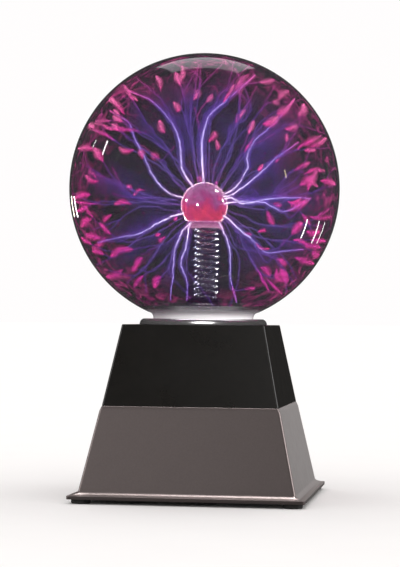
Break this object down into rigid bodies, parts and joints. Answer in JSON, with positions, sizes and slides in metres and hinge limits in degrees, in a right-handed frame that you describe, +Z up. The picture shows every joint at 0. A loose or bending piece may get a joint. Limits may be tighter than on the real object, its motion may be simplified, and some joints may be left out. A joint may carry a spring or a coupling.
{
  "type": "plasma ball",
  "caption": "Plasma ball: dark glass globe with glass stem, electrode ball and contact spring on a square tapered two-tone base with collar, rubber feet, rear rocker switch and power socket.",
  "frame": {"origin": "on the table under the middle of the base, level with the undersides of the rubber feet", "axes": "+Z up along the globe's axis, +X to the object's right seen from the front, +Y to the back, where the switch and socket are"},
  "size_m": [0.152, 0.152, 0.2485],
  "materials": {
    "smoked_glass": "polished, dark tint",
    "clear_glass": "polished",
    "electrode_coat": "glossy coated glass, lit from within",
    "spring_steel": "bright drawn wire",
    "brass": "turned",
    "silicone": "satin",
    "gasket_rubber": "matt foam rubber",
    "collar_grey": "gloss silver-grey lacquer",
    "seat_plastic": "moulded",
    "screw_steel": "zinc plated",
    "screw_black": "black oxide",
    "shell_black": "semi-gloss moulded",
    "shell_gunmetal": "satin metallic lacquer on plastic",
    "plate_black": "spark-eroded texture",
    "foot_rubber": "matt",
    "board_green": "solder-masked glass fibre laminate",
    "ferrite": "sintered, matt",
    "potting_resin": "cast resin",
    "copper_wire": "enamelled copper windings",
    "transistor_case": "moulded epoxy on a tinned tab",
    "sink_aluminium": "extruded, mill finish",
    "capacitor_sleeve": "shrunk sleeve",
    "capsule_metal": "drawn can with felt face",
    "socket_black": "moulded",
    "contact_brass": "nickel-flashed brass",
    "switch_black": "moulded",
    "rocker_black": "moulded, satin",
    "hv_insulation": "silicone insulation",
    "lead_insulation": "PVC insulation"
  },
  "bodies": {
    "lamp": {"glass_globe": "smoked_glass", "stem_tube": "clear_glass", "electrode_ball": "electrode_coat", "contact_spring": "spring_steel", "spring_seat": "brass", "stem_plug": "silicone", "exhaust_tip": "clear_glass", "neck_gasket": "gasket_rubber", "collar_ring": "collar_grey", "globe_seat": "seat_plastic", "seat_screws": "screw_steel", "upper_shell": "shell_black", "lower_shell": "shell_gunmetal", "shell_screws": "screw_steel", "base_plate": "plate_black", "base_screws": "screw_black", "foot_front_left": "foot_rubber", "foot_front_right": "foot_rubber", "foot_rear_left": "foot_rubber", "foot_rear_right": "foot_rubber", "circuit_board": "board_green", "board_screws": "screw_steel", "transformer_core": "ferrite", "hv_winding": "potting_resin", "primary_winding": "copper_wire", "power_transistor": "transistor_case", "heat_sink": "sink_aluminium", "transistor_screw": "screw_steel", "filter_capacitors": "capacitor_sleeve", "microphone": "capsule_metal", "dc_jack": "socket_black", "jack_contacts": "contact_brass", "switch_body": "switch_black", "rocker_pin": "screw_steel", "switch_terminals": "contact_brass", "hv_lead": "hv_insulation", "power_leads": "lead_insulation"},
    "rocker": {"switch_rocker": "rocker_black"}
  },
  "joints": [
    {"name": "rocker_tilt", "type": "hinge", "parent": "lamp", "child": "rocker", "pos_m": [0.017, 0.05169, 0.02857], "axis": [1, 0, 0], "range_deg": [-24, 0]}
  ]
}
